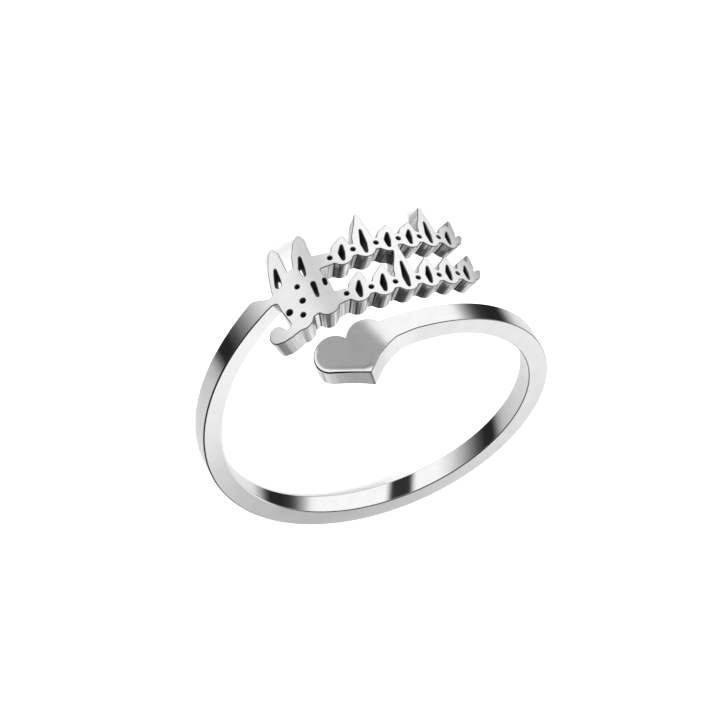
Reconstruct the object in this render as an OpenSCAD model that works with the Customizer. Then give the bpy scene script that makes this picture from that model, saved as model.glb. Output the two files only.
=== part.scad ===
/* [Band] */
// Inside diameter of the band
inner_d = 17.3; // [16:0.1:19]
// Thickness of the metal round the back, from the finger outwards
metal = 1.15; // [1.05:0.05:1.2]
// Its thickness at the heart
heart_metal = 1.45; // [1.4:0.01:1.5]
// Its thickness at the middle of the leaves
leaf_metal = 1.18; // [1.1:0.01:1.25]
// How much thinner the leaves get for each degree towards their free end
leaf_taper = 0.0085; // [0.007:0.0005:0.009]
// Width of the band along the finger
band_w = 1.2; // [1:0.05:1.4]
// How much lower the band lies after each radian round its back, from right to left
climb = 1.03; // [0.9:0.01:1.1]
// How much that slope steepens on the left and eases on the right
sweep = 0.166; // [0.12:0.002:0.18]

/* [Heart] */
// Distance of the heart's notch from the ring's top, round the outer face to the left
heart_at = 2.8; // [2.6:0.05:3.2]
// Distance between the middles of the heart's two lobes
lobe_gap = 2.07; // [1.9:0.01:2.2]
// Radius of each lobe
lobe_r = 1.14; // [1:0.01:1.2]
// Distance from the lobes' middles to the heart's tip
heart_tip = 2.1; // [1.8:0.05:2.3]

/* [Leaf rows] */
// Distance from one small leaf to the next
leaf_pitch = 1.4; // [1.36:0.01:1.44]
// Number of small leaves in each row
leaf_count = 6; // [5:1:6]
// How far below the band's back the upper row's round feet lie
upper_foot = 3.85; // [3.8:0.05:3.95]
// The same for the lower row's feet
lower_foot = 1.3; // [1.25:0.05:1.4]
// How far down the tallest leaves reach
tall_tip = 6.84; // [6.7:0.02:7]
// How much nearer the heart the middle of the lower row lies than its ends
lower_sag = 0.36; // [0:0.02:0.4]
// Radius of the round foot of a small leaf
leaf_r = 0.64; // [0.6:0.01:0.66]
// How far a small leaf's tip leans to the right of its foot
leaf_lean = 0.5; // [0.4:0.02:0.6]
// Radius of each leaf's tip
tip_r = 0.13; // [0.1:0.01:0.16]

/* [Hidden] */
silver = [0.78, 0.79, 0.8];
inner_r = inner_d / 2;
outer_r = inner_r + metal;
// Each shape is cut through more than the metal, then trimmed to the ring's tube
spare = 0.4;
cut_inner = outer_r - heart_metal - spare;
cut_outer = outer_r + spare;
cut_deep = heart_metal + 2 * spare;
tube_reach = 9;
tube_sides = 144;
// The tube's sides never change just where the band's own steps do
tube_turn = 0.7;
band_step = 4;
// The right arm starts to thicken this far from the back, in degrees, and is full after that many more
thick_from = 150;
thick_over = 35;
// The heart gets this much thinner past its tip, from this angle on, over so many degrees
heart_thins = 0.2;
thins_from = 191;
thins_over = 10;
// The least thickness at the leaves' free end
leaf_thinnest = 0.85;
// Which way the heart is cut through the metal, in degrees from the top, to the right as seen from outside
heart_way = -14.5;
// The same for the leaves: so much of each leaf's own angle, and so much more at all of them
leaf_turn = 0.87;
leaf_skew = 8.6;
// Where the two arms of the band end, in degrees round from the back
left_end = -142;
right_end = 186;
// Where each row's first small leaf stands, which of its leaves are tall, and how far those reach
upper_start = -0.75;
lower_start = -0.9;
upper_tall = [1, 4];
lower_tall = [2];
link_tip = 4.3;
small_tip = 1.85;
left_tip = -4.05;
// How far below a row's feet the webs between its leaves lie, and their radius
web_down = 0.72;
web_r = 0.4;
// The ring lies on its side, on the tips of its first and last tall leaves and on its back at this angle
heel_at = -26;
// What brings the middle of the lying ring's box over the origin
rest_shift = [0, -0.99];

// How far down the near edge of the band lies at an angle from the back, to the right
function near_edge(a) = let (turn = a * PI / 180) sweep * turn * turn - climb * turn;
// 0 below 0 and 1 above 1, with a smooth rise between them
function ease(t) = let (part = min(max(t, 0), 1)) part * part * (3 - 2 * part);
// The radius of the opening at an angle from the back, on the band and the heart
function bore_r(a) = inner_r - (heart_metal - metal) * ease((a - thick_from) / thick_over)
    + heart_thins * ease((a - thins_from) / thins_over);
// The same on the leaves
function leaf_bore_r(a) = outer_r - max(leaf_thinnest, leaf_metal + leaf_taper * (a - 180));
// A point at an angle from the back, a radius and a distance down
function back_point(a, r, down) = [r * sin(a), -r * cos(a), -down];
// The angle at the ring's middle for a distance round its outer face
function turn_of(along) = along / outer_r * 180 / PI;
// A point at a distance round the outer face from the ring's top, or at a further angle from there
function top_point(along, r, down, more = 0) = back_point(180 - turn_of(along) - more, r, down);
// Which way a leaf's post is cut
function leaf_way(along) = leaf_turn * turn_of(along) + leaf_skew;
// The inner corner of a tall leaf's tip: in from the outer face, the way it is cut, as far as the opening
function tip_corner(along) = let (
        off = turn_of(along) - leaf_way(along), bore = leaf_bore_r(180 - turn_of(along)),
        deep = outer_r * cos(off) - sqrt(bore * bore - pow(outer_r * sin(off), 2)))
    top_point(along, outer_r, tall_tip) - deep * top_point(0, 1, 0, leaf_way(along));
// The three points that the ring lies on, and the way up from them
heel = back_point(heel_at, outer_r, near_edge(heel_at) + band_w);
first_tip = tip_corner(left_tip);
last_tip = tip_corner(upper_start + upper_tall[1] * leaf_pitch + leaf_lean);
normal = cross(first_tip - heel, last_tip - heel);
up = normal / norm(normal) * sign(normal[2]);
function sides(r) = r > 0.8 ? 36 : r > 0.3 ? 16 : r > 0.15 ? 10 : 8;

// A round post through the metal at [distance round from the top, distance down, radius],
// cut the way it is given, in degrees from the top
module post(p, way) {
    translate(top_point(p[0], outer_r, p[1])) rotate(-way) rotate([-90, 0, 0])
        translate([0, 0, -cut_deep]) cylinder(cut_deep + spare, r = p[2], $fn = sides(p[2]));
}

module leaf_post(p) { post(p, leaf_way(p[0])); }

// A line of metal from post to post, round at each, with the way that each is cut
module stroke(posts, ways) {
    for (i = [0 : len(posts) - 2]) hull() {
        post(posts[i], ways[i]);
        post(posts[i + 1], ways[i + 1]);
    }
}
module leaf_stroke(posts) { stroke(posts, [for (p = posts) leaf_way(p[0])]); }
module heart_stroke(posts) { stroke(posts, [for (p = posts) heart_way]); }

// The strip of metal that bends round the finger and climbs along it
module band() {
    angles = [for (a = [left_end : band_step : right_end]) a];
    corners = [for (a = angles) let (near = near_edge(a)) each [
        back_point(a, cut_inner, near), back_point(a, cut_outer, near),
        back_point(a, cut_outer, near + band_w), back_point(a, cut_inner, near + band_w)]];
    last = 4 * (len(angles) - 1);
    walls = [for (i = [0 : 4 : last - 4]) for (k = [0 : 3])
        [i + k, i + 4 + k, i + 4 + (k + 1) % 4, i + (k + 1) % 4]];
    polyhedron(corners, concat([[0, 1, 2, 3]], walls,
        [[last + 3, last + 2, last + 1, last]]), convexity = 6);
}

// The heart at the end of the right arm, its tip towards the near side
module heart() {
    lobe_down = -0.98;
    left = [-heart_at - lobe_gap / 2, lobe_down, lobe_r];
    right = [-heart_at + lobe_gap / 2, lobe_down, lobe_r];
    tip = [-heart_at + 0.3, lobe_down - heart_tip, 0.08];
    middle = [-heart_at, lobe_down - 0.3, 0.5];
    heart_stroke([left, tip, right]);
    heart_stroke([middle, tip]);
    // The near edge of the band flows into the heart's side
    heart_stroke([[1.2, -1.15, 0.42], [-0.4, -1.22, 0.5], [-1.05, -1.38, 0.6], [-1.7, -1.75, 0.6]]);
}

// One pointed leaf on a round foot
module leaf(at, foot, tip, lean = leaf_lean, r = leaf_r) {
    middle = foot + r;
    tall = tip - middle;
    leaf_stroke([[at, middle, r],
            [at + 0.3 * lean, middle + 0.3 * tall, 0.92 * r],
            [at + 0.68 * lean, middle + 0.64 * tall, 0.5 * r],
            [at + lean, tip - tip_r, tip_r]]);
}

// The slit pierced along a leaf's middle
module slit(at, foot, tip, lean = leaf_lean, r = leaf_r) {
    middle = foot + r;
    tall = tip - middle;
    leaf_stroke([[at - 0.05 * lean, middle - 0.3, 0.08],
            [at + 0.12 * lean, middle + 0.12 * tall, 0.17],
            [at + 0.55 * lean, middle + 0.52 * tall, 0.05]]);
}

// How far down the foot of a row is at a leaf, or between two of them
function foot_at(i, foot, sag) = foot - sag * sin(180 * (i + 0.5) / leaf_count);

// The low webs that join each leaf to the next, and the round hole through each
module webs(foot, sag, start) {
    for (i = [-1 : leaf_count - 2])
        leaf_post([start + (i + 0.52) * leaf_pitch, foot_at(i + 0.5, foot, sag) + web_down, web_r]);
}
module web_holes(foot, sag, start) {
    for (i = [-1 : leaf_count - 2])
        leaf_post([start + (i + 0.53) * leaf_pitch, foot_at(i + 0.5, foot, sag) + web_down + 0.04, 0.14]);
}

// The pair of leaflets that ends a row
module tail(at, foot) {
    leaf_stroke([[at + 0.4, foot + 0.5, 0.2],
            [at + 0.9, foot + 0.75, 0.26],
            [at + 1.45, foot + 1.2, tip_r]]);
    leaf_stroke([[at + 0.6, foot + 1.0, 0.2],
            [at + 0.85, foot + 1.5, 0.26],
            [at + 1.1, foot + 2.2, tip_r]]);
}

// The tip of each leaf in a row: the listed ones grow tall
function tip_of(i, foot, tall, tall_to) =
    len([for (t = tall) if (t == i) 1]) > 0 ? tall_to : foot + small_tip;

module leaf_row(foot, sag, start, tall, tall_to) {
    for (i = [0 : leaf_count - 1])
        leaf(start + i * leaf_pitch, foot_at(i, foot, sag), tip_of(i, foot, tall, tall_to));
    webs(foot, sag, start);
    tail(start + (leaf_count - 1) * leaf_pitch, foot_at(leaf_count - 1, foot, sag));
}

module slit_row(foot, sag, start, tall, tall_to) {
    for (i = [0 : leaf_count - 1])
        slit(start + i * leaf_pitch, foot_at(i, foot, sag), tip_of(i, foot, tall, tall_to));
    web_holes(foot, sag, start);
}

// Two big leaves that grow through both rows
module twin_leaves() {
    leaf_stroke([[-4.35, lower_foot + 0.65, 0.65], [-4.45, 3.2, 0.72], [-4.5, 4.4, 0.66],
            [-4.3, 5.6, 0.5], [-4.1, 6.35, 0.34], [left_tip, tall_tip - tip_r, tip_r]]);
    leaf_stroke([[-2.75, lower_foot + 0.65, 0.65], [-2.8, 3.2, 0.74], [-2.95, 4.4, 0.7],
            [-2.75, 5.6, 0.52], [-2.5, 6.35, 0.36], [-2.38, tall_tip - tip_r, tip_r]]);
    leaf_stroke([[-3.6, 2.2, 0.5], [-3.65, 4.5, 0.55]]);
}

// Their slits and round eyes
module twin_eyes() {
    leaf_stroke([[-4.62, 4.62, 0.17], [-4.55, 4.85, 0.17], [-4.36, 5.6, 0.06]]);
    leaf_stroke([[-3.1, 4.35, 0.1], [-3.05, 4.8, 0.16], [-2.85, 5.5, 0.06]]);
    leaf_stroke([[-3.0, 2.75, 0.08], [-2.9, 3.6, 0.13]]);
    leaf_stroke([[-2.3, 3.2, 0.09], [-2.25, 3.5, 0.11]]);
    for (eye = [[-4.8, 2.75, 0.18], [-3.85, 2.95, 0.16], [-4.2, 2.15, 0.15], [-3.75, 3.9, 0.14]])
        leaf_post(eye);
}

// The curl with a ball end beside the lower row
module curl() {
    leaf_stroke([[-4.5, 1.85, 0.45], [-5.3, 1.6, 0.27], [-5.75, 1.75, 0.38], [-6.02, 2.0, 0.52]]);
}

// The neck that joins the left arm to the big leaves, cut straight through like the band
module neck() {
    posts = [[-7.4, 4.0, 0.59], [-6.5, 4.17, 0.59], [-5.9, 4.06, 0.36],
            [-5.45, 3.98, 0.22], [-4.8, 4.0, 0.4]];
    stroke(posts, [for (p = posts) turn_of(p[0])]);
}

// What joins a row to the second big leaf
module row_link(down, foot, start) {
    leaf_stroke([[-2.5, down, 0.5], [start - 0.5 * leaf_pitch, foot + web_down, web_r]]);
}

module ornament() {
    difference() {
        union() {
            leaf_row(upper_foot, 0, upper_start, upper_tall, tall_tip);
            leaf_row(lower_foot, lower_sag, lower_start, lower_tall, link_tip);
            twin_leaves();
            curl();
            row_link(upper_foot + 0.9, upper_foot, upper_start);
            row_link(lower_foot + 0.8, lower_foot, lower_start);
        }
        slit_row(upper_foot, 0, upper_start, upper_tall, tall_tip);
        slit_row(lower_foot, lower_sag, lower_start, lower_tall, link_tip);
        twin_eyes();
    }
}

module lie_down() {
    translate([rest_shift[0], rest_shift[1], -up * heel])
        rotate(acos(up[2]), cross(up, [0, 0, 1])) children();
}

// The tube that the metal is trimmed to: round outside, and as wide inside as its table of radii says
module tube(bores) {
    difference() {
        rotate(tube_turn) cylinder(2 * tube_reach, r = outer_r, center = true, $fn = tube_sides);
        linear_extrude(2 * tube_reach + 1, center = true)
            polygon([for (i = [0 : tube_sides - 1]) let (a = tube_turn + i * 360 / tube_sides)
                bores[i] * [sin(a), -cos(a)]]);
    }
}
tube_angles = [for (i = [0 : tube_sides - 1]) tube_turn + i * 360 / tube_sides];
// The right arm and the heart reach from the back round the right side, past the top
band_bores = [for (a = tube_angles) bore_r(a > 360 + left_end ? a - 360 : a)];
leaf_bores = [for (a = tube_angles) leaf_bore_r(a)];

module ring() {
    color(silver) lie_down() {
        intersection() {
            union() {
                band();
                heart();
                neck();
            }
            tube(band_bores);
        }
        intersection() {
            ornament();
            tube(leaf_bores);
        }
    }
}

ring();
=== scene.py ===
import math

import bpy
import numpy as np
from mathutils import Matrix, Vector
from mathutils.geometry import delaunay_2d_cdt


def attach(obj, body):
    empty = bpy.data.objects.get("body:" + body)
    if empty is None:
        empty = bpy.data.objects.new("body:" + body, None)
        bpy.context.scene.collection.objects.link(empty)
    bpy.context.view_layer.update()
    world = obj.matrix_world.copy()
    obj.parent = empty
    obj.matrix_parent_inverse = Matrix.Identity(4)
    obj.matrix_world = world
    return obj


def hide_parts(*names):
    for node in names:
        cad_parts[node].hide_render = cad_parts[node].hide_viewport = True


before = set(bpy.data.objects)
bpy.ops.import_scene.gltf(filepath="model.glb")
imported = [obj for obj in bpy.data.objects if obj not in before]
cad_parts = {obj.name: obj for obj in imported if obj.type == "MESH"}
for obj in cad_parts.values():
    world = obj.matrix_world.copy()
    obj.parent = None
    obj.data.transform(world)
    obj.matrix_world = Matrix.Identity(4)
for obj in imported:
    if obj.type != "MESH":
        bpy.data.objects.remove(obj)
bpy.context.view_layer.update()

MM = 0.001

# Sizes of the ring in millimetres, the same as in the part's source
INNER_R = 8.65
METAL = 1.15
HEART_METAL = 1.45
LEAF_METAL = 1.18
LEAF_TAPER = 0.0085
LEAF_THINNEST = 0.85
OUTER_R = INNER_R + METAL
# Where the band thickens to the heart, and thins again past the heart's tip, as angles from the band's back
THICKENS = (math.radians(150), math.radians(185))
HEART_THINS = 0.2
THINS = (math.radians(191), math.radians(201))
BAND_W = 1.2
CLIMB = 1.03
SWEEP = 0.166
LEFT_END = math.radians(-142)
RIGHT_END = math.radians(186)
HEART_AT = 2.8
LOBE_GAP = 2.07
LOBE_R = 1.14
LOBE_DOWN = -0.98
HEART_TIP = 2.1
HEART_MIDDLE = LOBE_DOWN - 0.3
LEAF_PITCH = 1.4
LEAF_COUNT = 6
LEAF_R = 0.64
LEAF_LEAN = 0.5
TIP_R = 0.13
WEB_DOWN = 0.72
WEB_R = 0.4
SMALL_TIP = 1.85
UPPER_FOOT = 3.85
LOWER_FOOT = 1.3
LOWER_SAG = 0.36
UPPER_START = -0.75
LOWER_START = -0.9
UPPER_TALL = [1, 4]
LOWER_TALL = [2]
TALL_TIP = 6.84
LINK_TIP = 4.3
LEFT_TIP = -4.05
HEEL_AT = math.radians(-26)
REST_SHIFT = Vector((0, -0.99, 0))

# Which way the cut walls run: parallel in the heart, straight through the band, and leaning in the leaves
HEART_WALLS = math.radians(194.5)
HEART_WALLS_FROM = (math.radians(172), math.radians(188))
LEAF_TURN = 0.87
LEAF_SKEW = math.radians(8.6)

# Where the leaves' own thickness and walls begin, in mm round from the ring's top, and over how far: farther
# left at the curl than beside the neck, which lies this far down and is cut like the band
LEAVES_BEGIN = -7.3
LEAVES_RISE = 0.5
NECK_ENDS = -5.4
NECK_FAR = (2.8, 3.3)
NECK_NEAR = (4.9, 5.2)

# How finely the outline, the inside of the faces and the polished edges are drawn
GRID = 0.03
OUTLINE_STEP = 0.06
INSIDE_STEP = 0.13
INSIDE_MARGIN = 0.17
EDGE_STEPS = 3
# A closed line with no more points than this is a speck
SPECK = 12
# The part of the blank that the grid covers: past the band's half turn at the heart's end and at the leaves'
# end, and from how high to how low
PAST_HEART = 5.6
PAST_LEAVES = 8.4
GRID_TOP = -3.6
GRID_FOOT = 7.3
# A distance farther than any that matters, and how far round a stroke its distances are worked out
FAR = 9.0
REACH = 0.5

# The radius of the polished edges, and how dark the painted reflection line along them is, by angle from the
# ring's back
EDGE_RADII = [(-145, 0.06), (-135, 0.09), (-60, 0.09), (-40, 0.06), (198, 0.06), (207, 0.09)]
OUTER_EDGE_PAINTED_DARKNESS = [(-175, 0.8), (-150, 0.9), (-140, 0.96), (-75, 0.96), (-50, 0.8), (190, 0.8),
                    (200, 0.97)]
INNER_EDGE_PAINTED_DARKNESS = [(-140, 0.1), (-48, 0.1), (-36, 0.75)]
# That radius is at most this part of the outline's own at a corner. Where the edge's inner side would lie
# nearer to another edge than this part of its radius, the radius is this share of the metal's width instead.
EDGE_IN_CORNER = 0.55
NARROW = 0.9
NARROW_SHARE = 0.45
THINNEST_EDGE = 0.01
# The walls have a painted dark shade line where the outline turns by more than this, in radians: in or out
CREASE_TURN = -0.25
CORNER_TURN = 0.35
CORNER_TONE = 0.7
# Only a hole smaller than this, in square millimetres, has painted shade inside
PIERCED_AREA = 1.2
# The order of the ring's two materials
POLISHED = 0
CUT_EDGE = 1
# For the triangulation: triangles all over the points' hull, and how near two points are one
WHOLE_HULL = 0
SAME_PLACE = 1e-7

# The heart's face: which way it looks, where along the blank it turns into the band's curve and loses its
# satin, and the soft rim on its left and near sides
HEART_FACES = math.radians(194)
HEART_FLATNESS = 0.93
HEART_FADE_WAY = (1, 0.4)
HEART_FADES = (-2.2, -0.8)
SATIN_FADES = (-1.0, 0.4)
HEART_SATIN = 0.64
HEART_RIM = 0.42
HEART_RIM_AT = (-0.8, -0.6)
HEART_RIM_TILT = 0.15
HEART_RIM_SIDES = (0.15, 0.45)
# The leaves' faces turn less than the finger does, from the ring's top on
LEAF_FLATNESS = 0.38
LEAVES_FLATTEN = (0.0, 3.0)
LEAVES_BLEND = (-0.4, 0.0)
# How streaked the leaves' walls are at the curl, and where round from the top they get fully streaked
CURL_STREAKS = 0.4
STREAKS_RISE = (-5.0, -1.5)
# How much the band's inner face is twisted from its near to its far edge
INNER_TWIST = math.radians(4)


# The flat blank. A place on it is [along, down]: along runs round the outer face from the band's back,
# to the right as seen from outside with the far side up, and down is how low it lies when the ring rests.
HALF_TURN = math.pi * OUTER_R


def near_edge(turn):
    """How far down the band's near edge lies at an angle from its back."""
    return SWEEP * turn * turn - CLIMB * turn


# The shapes on the blank are strokes. Each is a chain of round posts, (along, down, radius), and runs from
# post to post as the hull of the two.
def heart_strokes():
    left = (-HEART_AT - LOBE_GAP / 2, LOBE_DOWN, LOBE_R)
    right = (-HEART_AT + LOBE_GAP / 2, LOBE_DOWN, LOBE_R)
    tip = (-HEART_AT + 0.3, LOBE_DOWN - HEART_TIP, 0.08)
    middle = (-HEART_AT, HEART_MIDDLE, 0.5)
    into_band = [(1.2, -1.15, 0.42), (-0.4, -1.22, 0.5), (-1.05, -1.38, 0.6), (-1.7, -1.75, 0.6)]
    return [[left, tip, right], [middle, tip], into_band]


def tip_of(index, foot, tall, tall_to):
    return tall_to if index in tall else foot + SMALL_TIP


def leaf(at, foot, tip):
    middle = foot + LEAF_R
    tall = tip - middle
    return [(at, middle, LEAF_R),
            (at + 0.3 * LEAF_LEAN, middle + 0.3 * tall, 0.92 * LEAF_R),
            (at + 0.68 * LEAF_LEAN, middle + 0.64 * tall, 0.5 * LEAF_R),
            (at + LEAF_LEAN, tip - TIP_R, TIP_R)]


def slit(at, foot, tip):
    middle = foot + LEAF_R
    tall = tip - middle
    return [(at - 0.05 * LEAF_LEAN, middle - 0.3, 0.08),
            (at + 0.12 * LEAF_LEAN, middle + 0.12 * tall, 0.17),
            (at + 0.55 * LEAF_LEAN, middle + 0.52 * tall, 0.05)]


def foot_at(index, foot, sag):
    """How far down the foot of a row is at a leaf, or between two of them."""
    return foot - sag * math.sin(math.pi * (index + 0.5) / LEAF_COUNT)


def row_strokes(foot, sag, start, tall, tall_to):
    """The leaves of one row, the webs between them, and the pair of leaflets that ends it."""
    strokes = [leaf(start + i * LEAF_PITCH, foot_at(i, foot, sag), tip_of(i, foot, tall, tall_to))
               for i in range(LEAF_COUNT)]
    webs = [[(start + (i + 0.52) * LEAF_PITCH, foot_at(i + 0.5, foot, sag) + WEB_DOWN, WEB_R)]
            for i in range(-1, LEAF_COUNT - 1)]
    at = start + (LEAF_COUNT - 1) * LEAF_PITCH
    foot = foot_at(LEAF_COUNT - 1, foot, sag)
    tail = [[(at + 0.4, foot + 0.5, 0.2), (at + 0.9, foot + 0.75, 0.26), (at + 1.45, foot + 1.2, TIP_R)],
            [(at + 0.6, foot + 1.0, 0.2), (at + 0.85, foot + 1.5, 0.26), (at + 1.1, foot + 2.2, TIP_R)]]
    return strokes + webs + tail


def row_holes(foot, sag, start, tall, tall_to):
    slits = [slit(start + i * LEAF_PITCH, foot_at(i, foot, sag), tip_of(i, foot, tall, tall_to))
             for i in range(LEAF_COUNT)]
    webs = [[(start + (i + 0.53) * LEAF_PITCH, foot_at(i + 0.5, foot, sag) + WEB_DOWN + 0.04, 0.14)]
            for i in range(-1, LEAF_COUNT - 1)]
    return slits + webs


def twin_leaves():
    return [[(-4.35, LOWER_FOOT + 0.65, 0.65), (-4.45, 3.2, 0.72), (-4.5, 4.4, 0.66),
             (-4.3, 5.6, 0.5), (-4.1, 6.35, 0.34), (LEFT_TIP, TALL_TIP - TIP_R, TIP_R)],
            [(-2.75, LOWER_FOOT + 0.65, 0.65), (-2.8, 3.2, 0.74), (-2.95, 4.4, 0.7),
             (-2.75, 5.6, 0.52), (-2.5, 6.35, 0.36), (-2.38, TALL_TIP - TIP_R, TIP_R)],
            [(-3.6, 2.2, 0.5), (-3.65, 4.5, 0.55)]]


def twin_holes():
    return [[(-4.62, 4.62, 0.17), (-4.55, 4.85, 0.17), (-4.36, 5.6, 0.06)],
            [(-3.1, 4.35, 0.1), (-3.05, 4.8, 0.16), (-2.85, 5.5, 0.06)],
            [(-3.0, 2.75, 0.08), (-2.9, 3.6, 0.13)],
            [(-2.3, 3.2, 0.09), (-2.25, 3.5, 0.11)],
            [(-4.8, 2.75, 0.18)], [(-3.85, 2.95, 0.16)], [(-4.2, 2.15, 0.15)], [(-3.75, 3.9, 0.14)]]


def row_link(down, foot, start):
    """What joins a row to the second big leaf."""
    return [(-2.5, down, 0.5), (start - 0.5 * LEAF_PITCH, foot + WEB_DOWN, WEB_R)]


def ornament_strokes():
    curl = [(-4.5, 1.85, 0.45), (-5.3, 1.6, 0.27), (-5.75, 1.75, 0.38), (-6.02, 2.0, 0.52)]
    upper_link = row_link(UPPER_FOOT + 0.9, UPPER_FOOT, UPPER_START)
    lower_link = row_link(LOWER_FOOT + 0.8, LOWER_FOOT, LOWER_START)
    return (row_strokes(UPPER_FOOT, 0, UPPER_START, UPPER_TALL, TALL_TIP)
            + row_strokes(LOWER_FOOT, LOWER_SAG, LOWER_START, LOWER_TALL, LINK_TIP)
            + twin_leaves() + [curl, upper_link, lower_link])


def ornament_holes():
    return (row_holes(UPPER_FOOT, 0, UPPER_START, UPPER_TALL, TALL_TIP)
            + row_holes(LOWER_FOOT, LOWER_SAG, LOWER_START, LOWER_TALL, LINK_TIP)
            + twin_holes())


NECK = [[(-7.4, 4.0, 0.59), (-6.5, 4.17, 0.59), (-5.9, 4.06, 0.36), (-5.45, 3.98, 0.22), (-4.8, 4.0, 0.4)]]


def pairs_of(posts):
    """Each post of a stroke with the next, or a lone post with itself."""
    return list(zip(posts, posts[1:])) or [(posts[0], posts[0])]


# The outline, from the distance of each point of a fine grid to the shapes above
class Blank:
    """A grid of distances to the blank's edge, negative inside the metal."""

    def __init__(self):
        self.left = -HALF_TURN - PAST_HEART
        self.low = GRID_TOP
        columns = int((HALF_TURN + PAST_LEAVES - self.left) / GRID)
        rows = int((GRID_FOOT - self.low) / GRID)
        self.along = self.left + GRID * np.arange(columns)
        self.down = self.low + GRID * np.arange(rows)
        solid = self.band()
        self.add(solid, heart_strokes(), -HALF_TURN)
        leaves = np.full_like(solid, FAR)
        self.add(leaves, ornament_strokes(), HALF_TURN)
        holes = np.full_like(solid, FAR)
        self.add(holes, ornament_holes(), HALF_TURN)
        leaves = np.maximum(leaves, -holes)
        self.add(leaves, NECK, HALF_TURN)
        self.distance = np.minimum(solid, leaves)

    def band(self):
        turn = -self.along / OUTER_R
        near = near_edge(turn)
        slope = (CLIMB - 2 * SWEEP * turn) / OUTER_R
        past_near = near[None, :] - self.down[:, None]
        past_far = self.down[:, None] - near[None, :] - BAND_W
        across = np.maximum(past_near, past_far) / np.sqrt(1 + slope * slope)[None, :]
        past_ends = np.maximum(-self.along - RIGHT_END * OUTER_R, self.along + LEFT_END * OUTER_R)
        return np.maximum(across, past_ends[None, :])

    def add(self, field, strokes, shift):
        for posts in strokes:
            for a, b in pairs_of(posts):
                self.add_pair(field, a, b, shift)

    def add_pair(self, field, a, b, shift):
        """Joins to the field the hull of two circles, each (along, down, radius)."""
        x0 = min(a[0] - a[2], b[0] - b[2]) + shift - REACH
        x1 = max(a[0] + a[2], b[0] + b[2]) + shift + REACH
        y0 = min(a[1] - a[2], b[1] - b[2]) - REACH
        y1 = max(a[1] + a[2], b[1] + b[2]) + REACH
        i0, i1 = np.searchsorted(self.along, (x0, x1))
        j0, j1 = np.searchsorted(self.down, (y0, y1))
        x = self.along[None, i0:i1] - shift - a[0]
        y = self.down[j0:j1, None] - a[1]
        window = field[j0:j1, i0:i1]
        np.minimum(window, hull_distance(x, y, b[0] - a[0], b[1] - a[1], a[2], b[2]), out=window)

    def at(self, points):
        """The distance at points, from the four grid points round each."""
        x = (points[:, 0] - self.left) / GRID
        y = (points[:, 1] - self.low) / GRID
        i, j = x.astype(int), y.astype(int)
        fx, fy = x - i, y - j
        d = self.distance
        d00, d10, d01, d11 = d[j, i], d[j, i + 1], d[j + 1, i], d[j + 1, i + 1]
        return (d00 * (1 - fx) + d10 * fx) * (1 - fy) + (d01 * (1 - fx) + d11 * fx) * fy


def hull_distance(x, y, dx, dy, r0, r1):
    """Distance from points to the hull of a circle at the origin and one at (dx, dy)."""
    length = math.hypot(dx, dy)
    if length <= abs(r0 - r1) + 1e-9:
        return np.hypot(x, y) - max(r0, r1) if r0 >= r1 else np.hypot(x - dx, y - dy) - r1
    ux, uy = dx / length, dy / length
    along = x * ux + y * uy
    side = np.abs(x * uy - y * ux)
    lean = (r0 - r1) / length
    upright = math.sqrt(1 - lean * lean)
    k = -lean * side + upright * along
    start = np.hypot(side, along) - r0
    end = np.hypot(side, along - length) - r1
    flank = side * upright + along * lean - r0
    return np.where(k < 0, start, np.where(k > upright * length, end, flank))


def shape_distance(points, strokes, shift):
    """Distance from points to strokes laid out at a shift along the blank."""
    nearest = np.full(len(points), FAR)
    for posts in strokes:
        for a, b in pairs_of(posts):
            x = points[:, 0] - shift - a[0]
            y = points[:, 1] - a[1]
            np.minimum(nearest, hull_distance(x, y, b[0] - a[0], b[1] - a[1], a[2], b[2]), out=nearest)
    return nearest


def smooth_step(values, low, high):
    part = np.clip((values - low) / (high - low), 0, 1)
    return part * part * (3 - 2 * part)


def heart_depth(points):
    """How far inside the heart's outline points lie, negative outside it."""
    heart = heart_strokes()[:2]
    border = np.vstack([hull_border(a, b) for posts in heart for a, b in zip(posts, posts[1:])])
    border[:, 0] -= HALF_TURN
    border = border[shape_distance(border, heart, -HALF_TURN) > -0.01]
    inside = shape_distance(points, heart, -HALF_TURN) < 0
    return np.array([np.hypot(*(border - p).T).min() if near else -1.0 for p, near in zip(points, inside)])


def hull_border(a, b, steps=90):
    """Points round the hull of two circles."""
    a, b = np.array(a), np.array(b)
    way = math.atan2(b[1] - a[1], b[0] - a[0])
    open_by = math.acos((a[2] - b[2]) / math.hypot(b[0] - a[0], b[1] - a[1]))
    round_a = way + np.linspace(open_by, 2 * math.pi - open_by, steps)
    round_b = way + np.linspace(-open_by, open_by, steps)
    arc_a = a[:2] + a[2] * np.column_stack([np.cos(round_a), np.sin(round_a)])
    arc_b = b[:2] + b[2] * np.column_stack([np.cos(round_b), np.sin(round_b)])
    part = np.linspace(0, 1, steps)[:, None]
    return np.vstack([arc_a, arc_b, arc_a[0] * (1 - part) + arc_b[-1] * part,
                      arc_a[-1] * (1 - part) + arc_b[0] * part])


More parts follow.
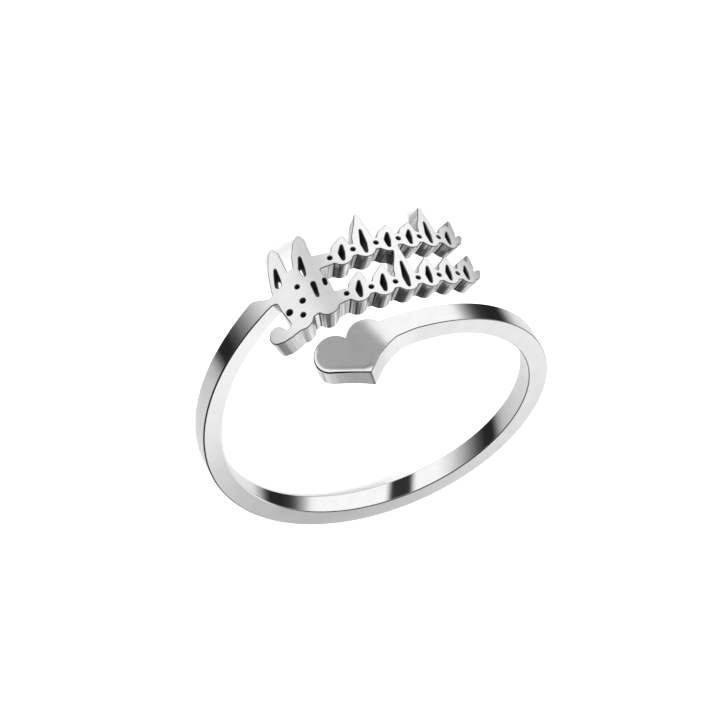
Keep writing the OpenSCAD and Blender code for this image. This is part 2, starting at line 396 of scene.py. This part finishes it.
def outlines(field):
    """Closed lines where the field is zero, the metal on the left of each, in grid steps."""
    inside = field < 0
    rows, columns = field.shape
    corner = (inside[:-1, :-1] * 1 + inside[:-1, 1:] * 2 + inside[1:, 1:] * 4 + inside[1:, :-1] * 8)
    follow = {}
    # Sides of a cell: 0 low, 1 right, 2 high, 3 left. Each case lists (from, to) with the metal on the left.
    cases = {1: [(0, 3)], 2: [(1, 0)], 3: [(1, 3)], 4: [(2, 1)], 5: [(0, 3), (2, 1)], 6: [(2, 0)],
             7: [(2, 3)], 8: [(3, 2)], 9: [(0, 2)], 10: [(1, 0), (3, 2)], 11: [(1, 2)], 12: [(3, 1)],
             13: [(0, 1)], 14: [(3, 0)]}
    for case, steps in cases.items():
        for j, i in np.argwhere(corner == case):
            sides = ((j, i, 0), (j, i + 1, 1), (j + 1, i, 0), (j, i, 1))
            for start, end in steps:
                follow[sides[start]] = sides[end]
    lines = []
    while follow:
        first, side = follow.popitem()
        line = [first]
        while side != first:
            line.append(side)
            side = follow.pop(side)
        lines.append(np.array([crossing(field, *s) for s in line]))
    return lines


def crossing(field, j, i, upright):
    a = field[j, i]
    b = field[j + 1, i] if upright else field[j, i + 1]
    part = a / (a - b)
    return (i, j + part) if upright else (i + part, j)


def even_line(line, step):
    """The closed line again with its points at even distances, smoothed once."""
    closed = np.vstack([line, line[:1]])
    run = np.concatenate([[0], np.cumsum(np.hypot(*np.diff(closed, axis=0).T))])
    count = max(10, int(round(run[-1] / step)))
    places = np.linspace(0, run[-1], count, endpoint=False)
    even = np.column_stack([np.interp(places, run, closed[:, k]) for k in (0, 1)])
    return 0.25 * np.roll(even, 1, axis=0) + 0.5 * even + 0.25 * np.roll(even, -1, axis=0)


def outward(line):
    """Unit normals of a closed line, pointing away from the metal."""
    run = np.roll(line, -1, axis=0) - np.roll(line, 1, axis=0)
    normal = np.column_stack([run[:, 1], -run[:, 0]])
    return normal / np.linalg.norm(normal, axis=1)[:, None]


def flowing(normals, reach=8, corner=0.97):
    """The normals of a closed line, evened out along its run but kept apart at corners."""
    total = normals.copy()
    for way in (1, -1):
        weight = np.ones(len(normals))
        for k in range(1, reach + 1):
            other = np.roll(normals, way * k, axis=0)
            weight = np.where((other * normals).sum(axis=1) > corner, weight, 0)
            total += other * weight[:, None]
    return total / np.linalg.norm(total, axis=1)[:, None]


# From the flat blank to the ring as it lies
def round_finger(turn, r, down):
    return np.column_stack([r * np.sin(turn), -r * np.cos(turn), -down])


def in_leaves(points):
    """1 on the leaves and 0 on the band, its neck and the heart, with a smooth change between."""
    beside_neck = smooth_step(points[:, 1], *NECK_FAR) * (1 - smooth_step(points[:, 1], *NECK_NEAR))
    start = LEAVES_BEGIN + (NECK_ENDS - LEAVES_BEGIN) * beside_neck
    return smooth_step(points[:, 0] - HALF_TURN, start, start + LEAVES_RISE)


def bore_r(points):
    """The radius of the opening behind points of the blank."""
    turn = -points[:, 0] / OUTER_R
    thicker = (HEART_METAL - METAL) * smooth_step(turn, *THICKENS)
    arm = METAL + thicker - HEART_THINS * smooth_step(turn, *THINS)
    leaf = np.maximum(LEAF_THINNEST, LEAF_METAL + LEAF_TAPER * (np.degrees(turn) + 180))
    return OUTER_R - arm - (leaf - arm) * in_leaves(points)


def wall_turn(points):
    """Which way the walls run at points of the blank, as an angle from the back."""
    turn = -points[:, 0] / OUTER_R
    in_heart = smooth_step(turn, *HEART_WALLS_FROM)
    leaf = -math.pi + LEAF_TURN * (turn + math.pi) - LEAF_SKEW
    return turn + in_heart * (HEART_WALLS - turn) + in_leaves(points) * (leaf - turn)


def through(points, r):
    """The places in the metal at a radius, reached from points of the outer face along the walls.

    With them comes how much of the points' spacing round the finger is left there."""
    turn, wall = -points[:, 0] / OUTER_R, wall_turn(points)
    lean = turn - wall
    deep = OUTER_R * np.cos(lean) - np.sqrt(r * r - (OUTER_R * np.sin(lean)) ** 2)
    place = round_finger(turn, OUTER_R, points[:, 1]) - deep[:, None] * round_finger(wall, 1, 0 * wall)
    step = np.array([0.01, 0])
    fan = (wall_turn(points - step) - wall_turn(points + step)) / (2 * step[0])
    return place, np.cos(lean) - deep * fan


def rest_matrix():
    """Lays the ring on the tips of its first and last tall leaves and on the band's back."""
    last_tip = UPPER_START + UPPER_TALL[1] * LEAF_PITCH + LEAF_LEAN
    tips = np.array([(HALF_TURN + at, TALL_TIP) for at in (LEFT_TIP, last_tip)])
    corners_in, _ = through(tips, bore_r(tips))
    first, last = (Vector(corner) for corner in corners_in)
    far_edge = near_edge(HEEL_AT) + BAND_W
    heel = Vector(round_finger(np.array([HEEL_AT]), OUTER_R, np.array([far_edge]))[0])
    up = (first - heel).cross(last - heel).normalized()
    if up.z < 0:
        up.negate()
    turn = up.rotation_difference(Vector((0, 0, 1))).to_matrix().to_4x4()
    return Matrix.Translation(REST_SHIFT - Vector((0, 0, up.dot(heel)))) @ turn


REST = rest_matrix()


def face_normals(points):
    """Which way the outer face looks: out on the band, turned less on the leaves, and flat on the heart."""
    past_top = points[:, 0] - HALF_TURN
    leaves = smooth_step(past_top, *LEAVES_FLATTEN)
    turn = -(points[:, 0] - LEAF_FLATNESS * leaves * past_top) / OUTER_R
    plain = round_finger(turn, 1, 0 * turn)
    flat, rim, _ = heart_finish(points)
    level = round_finger(np.full_like(turn, HEART_FACES), 1, 0 * turn)
    away = from_heart_middle(points)
    along = round_finger(turn - math.pi / 2, 1, 0 * turn)
    tilt = along * away[:, :1] + np.array([0, 0, -1]) * away[:, 1:]
    normal = plain * (1 - flat)[:, None] + level * flat[:, None] + HEART_RIM_TILT * rim[:, None] * tilt
    return normal / np.linalg.norm(normal, axis=1)[:, None]


def inner_normals(points):
    """Which way the inner face looks, turned over: a little twisted across the band by its bending."""
    turn = -points[:, 0] / OUTER_R
    across = np.clip((points[:, 1] - near_edge(turn)) / BAND_W, 0, 1)
    return round_finger(turn + INNER_TWIST * (0.5 - across), 1, 0 * turn)


def heart_finish(points):
    """How flat the heart's face is at points, how far they lie on its soft rim, and how satin it is."""
    to_band = (points + (HALF_TURN, -LOBE_DOWN)) @ HEART_FADE_WAY
    flat = HEART_FLATNESS * (1 - smooth_step(to_band, *HEART_FADES))
    satin = 1 - smooth_step(to_band, *SATIN_FADES)
    on_rim = smooth_step(from_heart_middle(points) @ HEART_RIM_AT, *HEART_RIM_SIDES)
    rim = flat * (1 - smooth_step(heart_depth(points), 0.0, HEART_RIM)) * on_rim
    return flat, rim, satin * (1 - rim)


def from_heart_middle(points):
    """The way from the heart's middle to points, one long."""
    away = points - (-HEART_AT - HALF_TURN, HEART_MIDDLE)
    return away / np.maximum(np.linalg.norm(away, axis=1), 1e-6)[:, None]


def bent(points, normals, r, level):
    """Bends blank points round the finger at a radius, and turns their normals.

    level goes from 1, facing away from the finger, through 0, facing along the sheet, to -1."""
    wall = wall_turn(points)
    place, spread = through(points, r)
    face = face_normals(points) if level > 0 else inner_normals(points)
    side = round_finger(wall - math.pi / 2, 1, 0 * wall) * normals[:, :1]
    side[:, 2] = -normals[:, 1] * spread
    side /= np.maximum(np.linalg.norm(side, axis=1), 1e-9)[:, None]
    facing = math.sqrt(1 - level * level) * side + level * face
    rest = np.array(REST)
    return (place @ rest[:3, :3].T + rest[:3, 3]) * MM, facing @ rest[:3, :3].T


def edge_profile():
    """(inset, drop, level) from the outer face round both polished edges to the inner face.

    inset and drop are in parts of the edge's own radius."""
    rounds = [math.pi / 2 * k / EDGE_STEPS for k in range(EDGE_STEPS + 1)]
    outer = [(1 - math.sin(a), 1 - math.cos(a), math.cos(a)) for a in rounds]
    return outer + [(inset, drop, -level) for inset, drop, level in reversed(outer)]


PROFILE = edge_profile()


def by_turn(points, table):
    """What a table of (degrees from the ring's back, value) says at points."""
    turns, values = zip(*table)
    return np.interp(np.degrees(-points[:, 0] / OUTER_R), turns, values)


def line_turns(line):
    """How far a closed line turns left at each of its points, and how long the step to it is."""
    before = line - np.roll(line, 1, axis=0)
    after = np.roll(line, -1, axis=0) - line
    cross = before[:, 0] * after[:, 1] - before[:, 1] * after[:, 0]
    return np.arctan2(cross, (before * after).sum(axis=1)), np.linalg.norm(before, axis=1)


def edge_radius(blank, line):
    """How round the edge is along a closed line: less at sharp corners and where the metal is narrow."""
    turn, step = line_turns(line)
    bend = step / np.maximum(turn, 1e-3)
    limit = np.minimum(by_turn(line, EDGE_RADII), EDGE_IN_CORNER * bend)
    depth = -blank.at(line - limit[:, None] * outward(line))
    in_narrow = np.maximum(NARROW_SHARE * (limit + depth), THINNEST_EDGE)
    limit = np.where(depth < NARROW * limit, in_narrow, limit)
    for _ in range(3):
        limit = np.minimum(limit, (np.roll(limit, 1) + limit + np.roll(limit, -1)) / 3)
    return limit


def is_pierced(line):
    """1 for the closed line of a small hole, which runs the other way round from the outline, or 0."""
    onward = np.roll(line, -1, axis=0)
    area = (line[:, 0] * onward[:, 1] - line[:, 1] * onward[:, 0]).sum() / 2
    return float(-PIERCED_AREA < area < 0)


def corners(line):
    """How dark the painted shade on the walls is where a closed line turns sharply, most of all in the
    leaves' creases.
    """
    turn, _ = line_turns(line)
    return CORNER_TONE * (turn > CORNER_TURN) + (turn < CREASE_TURN) * in_leaves(line)


class Rim:
    """The closed lines round the metal: their points in one list, and what each point carries."""

    def __init__(self, blank):
        lines = [even_line(line, OUTLINE_STEP / GRID) * GRID + (blank.left, blank.low)
                 for line in outlines(blank.distance) if len(line) > SPECK]
        counts = [len(line) for line in lines]
        starts = np.cumsum([0] + counts[:-1])
        self.points = np.vstack(lines)
        self.count = len(self.points)
        self.outward = np.vstack([outward(line) for line in lines])
        self.wall = np.vstack([flowing(flowing(outward(line))) for line in lines])
        self.radius = np.concatenate([edge_radius(blank, line) for line in lines])
        self.pierced = np.concatenate([np.full(len(line), is_pierced(line)) for line in lines])
        # Painted shade on the walls at sharp corners and creases, kept out of the pierced holes
        self.corner = np.concatenate([corners(line) for line in lines]) * (1 - self.pierced)
        self.run = np.concatenate([np.arange(count) * OUTLINE_STEP for count in counts])
        self.follow = np.concatenate([start + np.roll(np.arange(count), -1)
                                      for start, count in zip(starts, counts)])


def inside_points(blank):
    """A net of points inside the metal, so that the faces bend smoothly."""
    rows = np.arange(blank.low, blank.down[-2], INSIDE_STEP)
    columns = np.arange(blank.left, blank.along[-2] - INSIDE_STEP, INSIDE_STEP)
    net = np.array([(x + (j % 2) * INSIDE_STEP / 2, y) for j, y in enumerate(rows) for x in columns])
    return net[blank.at(net) < -INSIDE_MARGIN]


def layers_of(rim, net):
    """Places, normals and blank points: the rim at each step of the profile, then the outer and inner net."""
    layers = []
    for step, (inset, drop, level) in enumerate(PROFILE):
        flat = rim.points - (inset * rim.radius)[:, None] * rim.outward
        r = OUTER_R - drop * rim.radius if step <= EDGE_STEPS else bore_r(flat) + drop * rim.radius
        layers.append((*bent(flat, rim.wall, r, level), flat))
    for r, level in ((np.full(len(net), OUTER_R), 1.0), (bore_r(net), -1.0)):
        layers.append((*bent(net, np.zeros_like(net), r, level), net))
    return layers


def cap_faces(rim, net):
    """The triangles of the outer and the inner face, and where their corners lie on the blank."""
    first_net = len(PROFILE) * rim.count
    outer = np.concatenate([np.arange(rim.count), first_net + np.arange(len(net))])
    inner = np.concatenate([first_net - rim.count + np.arange(rim.count),
                            first_net + len(net) + np.arange(len(net))])
    places = np.vstack([rim.points, net])
    inset = rim.points - rim.radius[:, None] * rim.outward
    faces, spots = [], []
    for tri in cap_triangles(np.vstack([inset, net]), rim.follow):
        under = tri[::-1]
        faces += [outer[tri].tolist(), inner[under].tolist()]
        spots += [*places[tri], *places[under]]
    return faces, spots


def side_faces(rim):
    """The faces from step to step of the profile, their materials, and how far along and in they lie."""
    faces, kinds, spots = [], [], []
    for level in range(len(PROFILE) - 1):
        a = level * rim.count
        for v, w in enumerate(rim.follow):
            faces.append([a + v, a + rim.count + v, a + rim.count + w, a + w])
            far = rim.run[v] + OUTLINE_STEP
            spots += [(rim.run[v], level), (rim.run[v], level + 1), (far, level + 1), (far, level)]
        kinds += [CUT_EDGE if level == EDGE_STEPS else POLISHED] * rim.count
    return faces, kinds, spots


def marks_of(rim, net, flat):
    """The values that the materials read at each point of the mesh."""
    on_net = np.zeros(2 * len(net))
    # The edge mark is painted light: a painted dark reflection line along the polished edges, and painted
    # shade on the walls at corners and creases
    inner, outer = by_turn(rim.points, INNER_EDGE_PAINTED_DARKNESS), by_turn(rim.points, OUTER_EDGE_PAINTED_DARKNESS)
    edge = []
    # The level is 0 on the wall, and 1 or -1 where an edge meets a face
    for _, _, level in PROFILE:
        tone = outer if level > 0 else inner
        edge.append(rim.corner if abs(level) < 0.01 else tone * (abs(level) < 0.99))
    marks = {"pierced": np.concatenate([rim.pierced] * len(PROFILE) + [on_net]),
             "edge": np.concatenate(edge + [on_net])}
    marks["satin"], marks["leaves"] = satin(flat)
    return marks


def cap_triangles(points, follow):
    """Fills the outline, less its holes, with triangles on the given points."""
    outline = [(v, int(w)) for v, w in enumerate(follow)]
    filled = delaunay_2d_cdt([Vector(p) for p in points], outline, [], WHOLE_HULL, SAME_PLACE)
    triangles, origin = filled[2], filled[3]
    known = [[origin[v][0] for v in tri] for tri in triangles if all(origin[v] for v in tri)]
    return on_the_metal(known, set(outline))


def on_the_metal(triangles, outline):
    """The triangles on the left of the outline's edges, where the metal is, and all that join them."""
    on_left = {(tri[k - 1], tri[k]): number for number, tri in enumerate(triangles) for k in range(3)}
    found = {on_left[edge] for edge in outline if edge in on_left}
    to_do = list(found)
    while to_do:
        tri = triangles[to_do.pop()]
        for k in range(3):
            a, b = tri[k - 1], tri[k]
            beside = on_left.get((b, a))
            if (a, b) not in outline and beside is not None and beside not in found:
                found.add(beside)
                to_do.append(beside)
    return [triangles[number] for number in sorted(found)]


def satin(points):
    """How satin the faces are, 0 on the band's mirror polish and up to 1, and how streaked the walls."""
    heart = heart_finish(points)[2]
    leaves = smooth_step(-shape_distance(points, ornament_strokes(), HALF_TURN), *LEAVES_BLEND)
    streaks = CURL_STREAKS + (1 - CURL_STREAKS) * smooth_step(points[:, 0] - HALF_TURN, *STREAKS_RISE)
    return np.maximum(HEART_SATIN * heart, leaves), leaves * streaks


def make_ring():
    blank = Blank()
    rim, net = Rim(blank), inside_points(blank)
    xyz, facing, flat = (np.vstack(part) for part in zip(*layers_of(rim, net)))
    cap, cap_spots = cap_faces(rim, net)
    side, side_kinds, side_spots = side_faces(rim)
    faces = cap + side
    mesh = bpy.data.meshes.new("ring_body")
    mesh.from_pydata(xyz.tolist(), [], faces)
    mesh.polygons.foreach_set("material_index", [POLISHED] * len(cap) + side_kinds)
    mesh.polygons.foreach_set("use_smooth", [True] * len(faces))
    layer = mesh.uv_layers.new(name="blank")
    layer.data.foreach_set("uv", np.array(cap_spots + side_spots).astype(np.float32).ravel())
    for name, values in marks_of(rim, net, flat).items():
        finish = mesh.attributes.new(name, "FLOAT", "POINT")
        finish.data.foreach_set("value", values.astype(np.float32))
    mesh.update()
    mesh.normals_split_custom_set_from_vertices(facing.tolist())
    ring = bpy.data.objects.new("ring_body", mesh)
    bpy.context.scene.collection.objects.link(ring)
    return ring


# Materials
BLUE_TINGE = 1.006
# The polished faces: how fine the hairlines, the clouds and the ripple are along and across the metal, how
# bright the metal is, and how rough
HAIRLINES = (0.9, 42, 1)
FACE_CLOUDS = (1.3, 1.7, 1)
RIPPLE = (0.55, 0.8, 1)
FACE_TONES = (0.9, 0.96)
MIRROR_ROUGHNESS = 0.07
SATIN_ROUGHNESS = 0.28
HAIRLINE_ROUGHNESS = (-0.015, 0.02)
# The walls: the same, and how dark the streaks are, and how dark the painted shade in the corners and the
# pierced holes is
WALL_LINES = (7, 0.5, 1)
WALL_CLOUDS = (0.7, 0.6, 1)
WALL_TONES = (0.87, 0.94)
WALL_ROUGHNESS = (0.13, 0.19)
HOLE_ROUGHNESS = 0.35
STREAK_STAINS = (-0.25, 0.8)
CORNER_PAINTED_SHADE = 0.86
HOLE_PAINTED_SHADE = 0.88
# How strong each bump is and how deep in metres. The walls' bump is stronger on the leaves by the last value.
HAIRLINE_BUMP = (0.02, 0.00002)
RIPPLE_BUMP = (0.3, 0.00001)
WALL_BUMP = (0.06, 0.00003)
WALL_BUMP_ON_LEAVES = 0.35


def new_material(name):
    material = bpy.data.materials.new(name)
    material.use_nodes = True
    nodes, links = material.node_tree.nodes, material.node_tree.links
    return material, nodes, links, nodes["Principled BSDF"]


def math_node(nodes, links, operation, *values):
    node = nodes.new("ShaderNodeMath")
    node.operation = operation
    for socket, value in zip(node.inputs, values):
        if isinstance(value, (int, float)):
            socket.default_value = value
        else:
            links.new(value, socket)
    return node.outputs[0]


def mark(nodes, name):
    """One of the values that the mesh carries at its points."""
    node = nodes.new("ShaderNodeAttribute")
    node.attribute_name = name
    return node.outputs["Fac"]


def stretched_noise(nodes, links, place, scale, detail=3):
    """Noise with its own scale along each direction."""
    mapping = nodes.new("ShaderNodeMapping")
    mapping.inputs["Scale"].default_value = scale
    links.new(place, mapping.inputs["Vector"])
    noise = nodes.new("ShaderNodeTexNoise")
    noise.inputs["Scale"].default_value = 1
    noise.inputs["Detail"].default_value = detail
    links.new(mapping.outputs[0], noise.inputs["Vector"])
    return noise.outputs["Fac"]


def map_range(nodes, links, value, from_range, to_range=(0, 1), interpolation="LINEAR"):
    node = nodes.new("ShaderNodeMapRange")
    node.interpolation_type = interpolation
    links.new(value, node.inputs["Value"])
    node.inputs["From Min"].default_value, node.inputs["From Max"].default_value = from_range
    node.inputs["To Min"].default_value, node.inputs["To Max"].default_value = to_range
    return node.outputs[0]


def spread(nodes, links, noise, low, high):
    """Spreads noise, which stays near 0.5, over a range."""
    return map_range(nodes, links, noise, (0.25, 0.75), (low, high))


def silver(nodes, links, shader, tone):
    """Makes the shader a metal of a grey tone, very slightly blue."""
    mixed = nodes.new("ShaderNodeCombineColor")
    for channel in ("Red", "Green"):
        links.new(tone, mixed.inputs[channel])
    links.new(math_node(nodes, links, "MULTIPLY", tone, BLUE_TINGE), mixed.inputs["Blue"])
    links.new(mixed.outputs[0], shader.inputs["Base Color"])
    shader.inputs["Metallic"].default_value = 1.0


def bump_of(nodes, links, height, strength_and_depth):
    bump = nodes.new("ShaderNodeBump")
    bump.inputs["Strength"].default_value, bump.inputs["Distance"].default_value = strength_and_depth
    links.new(height, bump.inputs["Height"])
    return bump


def polished_face():
    """Mirror polish on the band and satin on the heart and leaves, with hairlines along the metal."""
    material, nodes, links, shader = new_material("polished_silver")
    place = nodes.new("ShaderNodeUVMap").outputs["UV"]
    finish, edge = mark(nodes, "satin"), mark(nodes, "edge")
    hairlines = stretched_noise(nodes, links, place, HAIRLINES)
    clouds = stretched_noise(nodes, links, place, FACE_CLOUDS, detail=2)
    ripple = stretched_noise(nodes, links, place, RIPPLE, detail=1)

    # The edge mark darkens the metal: a painted dark reflection along the polished edges, and painted shade
    # at the walls' corners
    unshaded = math_node(nodes, links, "SUBTRACT", 1.0, edge)
    tone = math_node(nodes, links, "MULTIPLY", spread(nodes, links, clouds, *FACE_TONES), unshaded)
    silver(nodes, links, shader, tone)

    base = math_node(nodes, links, "MULTIPLY_ADD", finish, SATIN_ROUGHNESS, MIRROR_ROUGHNESS)
    grain = spread(nodes, links, hairlines, *HAIRLINE_ROUGHNESS)
    links.new(math_node(nodes, links, "ADD", base, grain), shader.inputs["Roughness"])

    fine = bump_of(nodes, links, hairlines, HAIRLINE_BUMP)
    broad = bump_of(nodes, links, ripple, RIPPLE_BUMP)
    links.new(fine.outputs[0], broad.inputs["Normal"])
    links.new(broad.outputs[0], shader.inputs["Normal"])
    return material


def cut_edge():
    """The cut edges: the same metal with a satin polish and lines straight through the sheet.

    The lines are faint on the band and dark round the leaves, and painted shade darkens the walls' corners
    and creases and the pierced holes inside."""
    material, nodes, links, shader = new_material("satin_edge")
    place = nodes.new("ShaderNodeUVMap").outputs["UV"]
    leaves, hole, corner = (mark(nodes, name) for name in ("leaves", "pierced", "edge"))
    lines = stretched_noise(nodes, links, place, WALL_LINES, detail=4)
    clouds = stretched_noise(nodes, links, place, WALL_CLOUDS, detail=2)

    streaks = math_node(nodes, links, "MULTIPLY", leaves, spread(nodes, links, lines, *STREAK_STAINS))
    # Painted shade in the walls' corners and creases
    in_corner = math_node(nodes, links, "MULTIPLY", corner, CORNER_PAINTED_SHADE)
    # Painted shade inside the pierced holes
    in_hole = math_node(nodes, links, "MULTIPLY", hole, HOLE_PAINTED_SHADE)
    on_metal = math_node(nodes, links, "MAXIMUM", streaks, in_corner)
    streaks_and_painted_shade = math_node(nodes, links, "MAXIMUM", on_metal, in_hole)
    unshaded = spread(nodes, links, clouds, *WALL_TONES)
    tone = math_node(nodes, links, "MULTIPLY", unshaded, math_node(nodes, links, "SUBTRACT", 1.0, streaks_and_painted_shade))
    silver(nodes, links, shader, tone)

    smooth = spread(nodes, links, lines, *WALL_ROUGHNESS)
    rough = math_node(nodes, links, "MULTIPLY_ADD", hole, HOLE_ROUGHNESS, smooth)
    links.new(rough, shader.inputs["Roughness"])

    bump = bump_of(nodes, links, lines, WALL_BUMP)
    strength = math_node(nodes, links, "MULTIPLY_ADD", leaves, WALL_BUMP_ON_LEAVES, WALL_BUMP[0])
    links.new(strength, bump.inputs["Strength"])
    links.new(bump.outputs[0], shader.inputs["Normal"])
    return material


# The floor, the light and the camera
FLOOR_SIZE = 4
FLOOR_GREY = 0.9
FLOOR_ROUGHNESS = 0.9


def make_floor():
    bpy.ops.mesh.primitive_plane_add(size=FLOOR_SIZE)
    floor = bpy.context.object
    floor.name = "floor"
    material, _, _, shader = new_material("pale_floor")
    shader.inputs["Base Color"].default_value = grey(FLOOR_GREY)
    shader.inputs["Roughness"].default_value = FLOOR_ROUGHNESS
    floor.data.materials.append(material)
    floor.visible_glossy = False


def grey(brightness):
    return (brightness, brightness, brightness, 1)


# Brightness of what the polished faces mirror, by compass angle: pale screens with soft dark gaps, low down
# and high up, and the heights between which the low ones turn into the high ones
LOW_SCREENS = [(-180, 0.32), (-174, 0.52), (-165, 0.61), (-147, 0.68), (-120, 0.73), (-60, 0.82),
               (-38, 0.82), (-20, 0.78), (-11, 0.42), (-5, 0.1), (-1, 0.02), (10, 0.02), (17, 0.04),
               (22, 0.12), (28, 0.42), (34, 0.9), (38, 1.0), (84, 1.0), (124, 1.0), (136, 0.68), (143, 0.44),
               (150, 0.24), (157, 0.09), (164, 0.02), (173, 0.02), (177, 0.15), (180, 0.32)]
HIGH_SCREENS = [(-180, 0.35), (-115, 0.12), (-92, 0.18), (-84, 0.42), (-82, 0.47), (-81, 0.52), (-80, 0.58),
                (-78, 0.62), (-75, 0.75), (-72, 0.85), (-68, 0.92), (-60, 0.98), (0, 0.95), (90, 0.95),
                (150, 0.8), (180, 0.35)]
SCREENS_MEET = (-9, 6)
# Dark cards in that studio: compass angle, height, half width, half height, all in degrees, and brightness
CARDS = [(97, -14, 8.5, 8, 0.03), (172, 27, 76, 18, 0.04), (0, 72, 180, 24, 0.04)]
CARD_BLUR = 6
# The plain soft light on everything that isn't a mirror
PLAIN_LIGHT = 2.3


def screens(nodes, links, compass, table):
    """A colour ramp round the horizon from (angle, brightness) pairs."""
    ramp = nodes.new("ShaderNodeValToRGB")
    links.new(map_range(nodes, links, compass, (-180, 180)), ramp.inputs["Fac"])
    elements = ramp.color_ramp.elements
    while len(elements) < len(table):
        elements.new(0.5)
    for element, (angle, brightness) in zip(elements, table):
        element.position = (angle + 180) / 360
        element.color = grey(brightness)
    return ramp.outputs["Color"]


def colour_mix(nodes, links, factor, first, second):
    """Mixes two colours, each a socket or a plain colour."""
    mix = nodes.new("ShaderNodeMix")
    mix.data_type = "RGBA"
    links.new(factor, mix.inputs["Factor"])
    for name, colour in (("A", first), ("B", second)):
        if isinstance(colour, tuple):
            mix.inputs[name].default_value = colour
        else:
            links.new(colour, mix.inputs[name])
    return mix.outputs["Result"]


def with_card(nodes, links, compass, height, colour, card):
    """The colour with a soft-edged card over it."""
    at, up, half_width, half_height, brightness = card
    factors = []
    for value, middle, half in ((compass, at, half_width), (height, up, half_height)):
        apart = math_node(nodes, links, "SUBTRACT", value, middle)
        away = math_node(nodes, links, "ABSOLUTE", math_node(nodes, links, "WRAP", apart, 180, -180))
        ends = (half + CARD_BLUR / 2, half - CARD_BLUR / 2)
        factors.append(map_range(nodes, links, away, ends, interpolation="SMOOTHSTEP"))
    covered = math_node(nodes, links, "MULTIPLY", *factors)
    return colour_mix(nodes, links, covered, colour, grey(brightness))


def make_world():
    """The studio that mirrored rays see, and one plain light for all the others."""
    world = bpy.data.worlds.new("studio")
    bpy.context.scene.world = world
    world.use_nodes = True
    nodes, links = world.node_tree.nodes, world.node_tree.links
    direction = nodes.new("ShaderNodeTexCoord").outputs["Generated"]
    split = nodes.new("ShaderNodeSeparateXYZ")
    links.new(direction, split.inputs[0])
    turn = math_node(nodes, links, "ARCTAN2", split.outputs["Y"], split.outputs["X"])
    compass = math_node(nodes, links, "MULTIPLY", turn, 180 / math.pi)
    rise = math_node(nodes, links, "ARCSINE", split.outputs["Z"])
    height = math_node(nodes, links, "MULTIPLY", rise, 180 / math.pi)
    low = screens(nodes, links, compass, LOW_SCREENS)
    high = screens(nodes, links, compass, HIGH_SCREENS)
    above = map_range(nodes, links, height, SCREENS_MEET, interpolation="SMOOTHSTEP")
    colour = colour_mix(nodes, links, above, low, high)
    for card in CARDS:
        colour = with_card(nodes, links, compass, height, colour, card)
    mirrored = nodes.new("ShaderNodeLightPath").outputs["Is Glossy Ray"]
    seen = colour_mix(nodes, links, mirrored, grey(PLAIN_LIGHT), colour)
    links.new(seen, nodes["Background"].inputs["Color"])


# The camera has the photograph's angle to the ring: its place in mm, its right and up, and its lens and
# picture in mm
CAMERA_AT = Vector((-85.325, 185.301, 225.392))
CAMERA_RIGHT = Vector((0.908, -0.07843, 0.41156))
CAMERA_UP = Vector((0.30889, 0.78898, -0.53113))
LENS = 270.45
PICTURE = 36


def make_camera():
    data = bpy.data.cameras.new("camera")
    data.lens = LENS
    data.sensor_width = PICTURE
    data.clip_start = 0.01
    data.clip_end = 20
    camera = bpy.data.objects.new("camera", data)
    back = CAMERA_RIGHT.cross(CAMERA_UP).normalized()
    right = CAMERA_UP.cross(back).normalized()
    up = back.cross(right)
    turn = Matrix((right, up, back)).transposed()
    camera.matrix_world = Matrix.Translation(CAMERA_AT * MM) @ turn.to_4x4()
    bpy.context.scene.collection.objects.link(camera)
    bpy.context.scene.camera = camera


ring = make_ring()
ring.data.materials.append(polished_face())
ring.data.materials.append(cut_edge())
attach(ring, "root")
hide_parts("ring")
make_floor()
make_world()
make_camera()
bpy.context.scene.view_settings.view_transform = "Standard"
